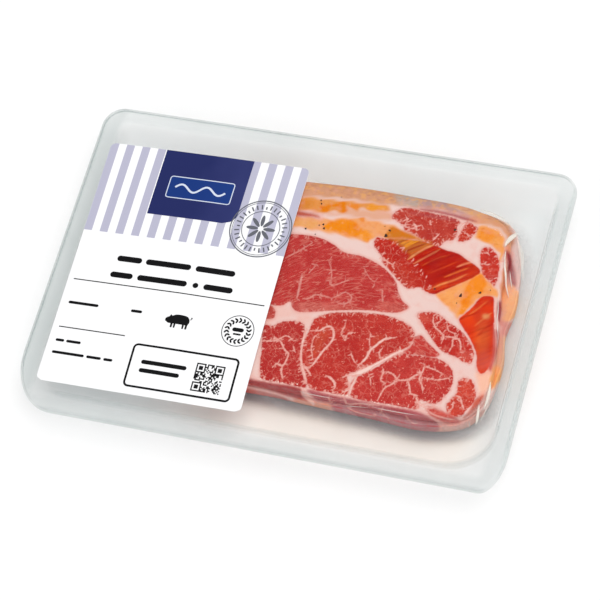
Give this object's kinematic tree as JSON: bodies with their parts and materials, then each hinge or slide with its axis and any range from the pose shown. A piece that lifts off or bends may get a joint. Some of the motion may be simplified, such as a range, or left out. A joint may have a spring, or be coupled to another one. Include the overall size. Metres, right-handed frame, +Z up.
{
  "type": "pack of smoked pork neck",
  "caption": "Shallow clear food tray holding stacked slices of smoked pork neck under a clear skin film, with a paper label bridging from the rim to the meat.",
  "frame": {"origin": "middle of the tray's footprint, on the surface that the tray stands on", "axes": "+Z up, +X along the long side of the tray from the label towards the bare end of the meat, +Y away from the viewer"},
  "size_m": [0.22, 0.15, 0.0194],
  "materials": {
    "clear_tray": "clear, faintly green-grey thermoformed plastic, glossy, with a slightly frosted edge",
    "meat": "moist cured pork: red lean, white to pink fat and marbling, golden smoked rind side",
    "clear_film": "thin clear film, glossy, with fine folds and a pale haze where it stands off the meat",
    "label_paper": "satin coated paper with lilac stripes, a navy block and plain grey and black print shapes"
  },
  "bodies": {
    "root": {"tray": "clear_tray", "lower_slice": "meat", "upper_slice": "meat", "film": "clear_film", "label": "label_paper"}
  },
  "joints": []
}
